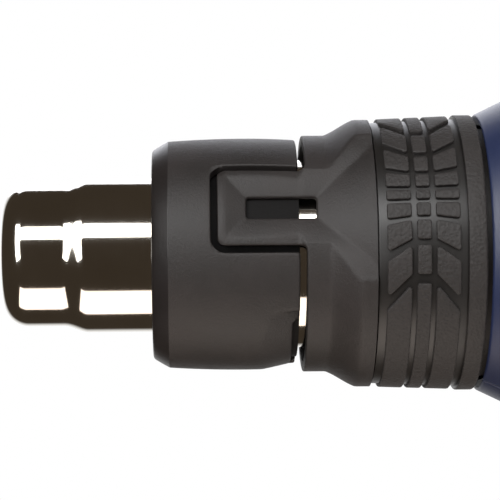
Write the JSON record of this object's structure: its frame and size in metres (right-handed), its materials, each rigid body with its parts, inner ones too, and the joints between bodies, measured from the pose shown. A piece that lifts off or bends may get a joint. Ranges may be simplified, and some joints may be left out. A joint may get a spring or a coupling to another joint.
{
  "type": "heat gun",
  "caption": "Pistol-grip heat gun that stands nozzle up: polished nozzle, pull-off black collar, treaded grip ring, navy split housing, rocker switch and temperature wheel.",
  "frame": {"origin": "centre of the rear cap's face, on the barrel axis, on the surface that the gun stands on", "axes": "+Z along the barrel towards the nozzle, -X down the handle, Y across the split line of the housing"},
  "size_m": [0.234, 0.083, 0.252],
  "materials": {
    "polished_steel": "polished drawn stainless steel, faint axial wipe marks",
    "black_nylon": "glass-filled nylon with a fine spark-eroded texture",
    "tread_rubber": "soft rubber with a fine leather grain",
    "navy_nylon": "satin navy housing plastic",
    "grip_rubber": "soft overmoulded grip, matt",
    "ceramic": "unglazed cordierite",
    "mica": "laminated mica sheet",
    "heating_wire": "oxidised resistance wire",
    "zinc_steel": "zinc-plated steel",
    "dark_steel": "blackened steel",
    "copper_winding": "enamelled copper winding",
    "bronze": "sintered bronze",
    "circuit_board": "solder-masked board",
    "aluminium": "extruded aluminium",
    "silicone": "heat-resistant silicone",
    "control_black": "satin black switch plastic"
  },
  "bodies": {
    "gun": {"nozzle_tube": "polished_steel", "neck": "black_nylon", "tread_ring": "tread_rubber", "mica_tube": "mica", "heater_core": "ceramic", "heater_base": "ceramic", "thermal_cutout": "zinc_steel", "temperature_sensor": "zinc_steel", "flange_gasket": "silicone", "air_duct": "black_nylon", "motor_bracket": "black_nylon", "motor_can": "zinc_steel", "motor_end_bell": "black_nylon", "bearing_front": "bronze", "bearing_rear": "bronze", "magnet_1": "dark_steel", "magnet_2": "dark_steel", "housing_left": "navy_nylon", "housing_right": "navy_nylon", "grip_left": "grip_rubber", "grip_right": "grip_rubber", "rear_cap": "black_nylon", "stand_ring": "grip_rubber", "heel_pad": "grip_rubber", "switch_body": "control_black", "potentiometer": "zinc_steel", "control_board": "circuit_board", "heatsink": "aluminium", "triac": "control_black", "capacitor": "mica", "terminal_block": "ceramic", "cable_clamp": "black_nylon", "cable_inlet": "grip_rubber", "heating_coil_1": "heating_wire", "heating_coil_2": "heating_wire", "heating_coil_3": "heating_wire", "heating_coil_4": "heating_wire", "heating_coil_5": "heating_wire", "heating_coil_6": "heating_wire", "flange_screw_1": "zinc_steel", "flange_screw_2": "zinc_steel", "flange_screw_3": "zinc_steel", "housing_screw_1": "dark_steel", "housing_screw_2": "dark_steel", "housing_screw_3": "dark_steel", "housing_screw_4": "dark_steel", "housing_screw_5": "dark_steel", "housing_screw_6": "dark_steel", "clamp_screw_1": "zinc_steel", "clamp_screw_2": "zinc_steel"},
    "collar": {"collar": "black_nylon"},
    "rotor": {"motor_shaft": "zinc_steel", "armature": "copper_winding", "impeller": "black_nylon"},
    "rocker": {"switch_rocker": "control_black"},
    "wheel": {"thumbwheel": "control_black"}
  },
  "joints": [
    {"name": "collar_slide", "type": "slide", "parent": "gun", "child": "collar", "axis": [0, 0, 1], "range_m": [0, 0.075]},
    {"name": "fan_spin", "type": "hinge", "parent": "gun", "child": "rotor", "pos_m": [0, 0, 0.08], "axis": [0, 0, 1], "continuous": true},
    {"name": "rocker_tilt", "type": "hinge", "parent": "gun", "child": "rocker", "pos_m": [-0.07844, 0, 0.07123], "axis": [0, 1, 0], "range_deg": [-10, 10]},
    {"name": "wheel_turn", "type": "hinge", "parent": "gun", "child": "wheel", "pos_m": [-0.0629, 0, 0.04369], "axis": [0, 1, 0], "range_deg": [0, 270]}
  ]
}
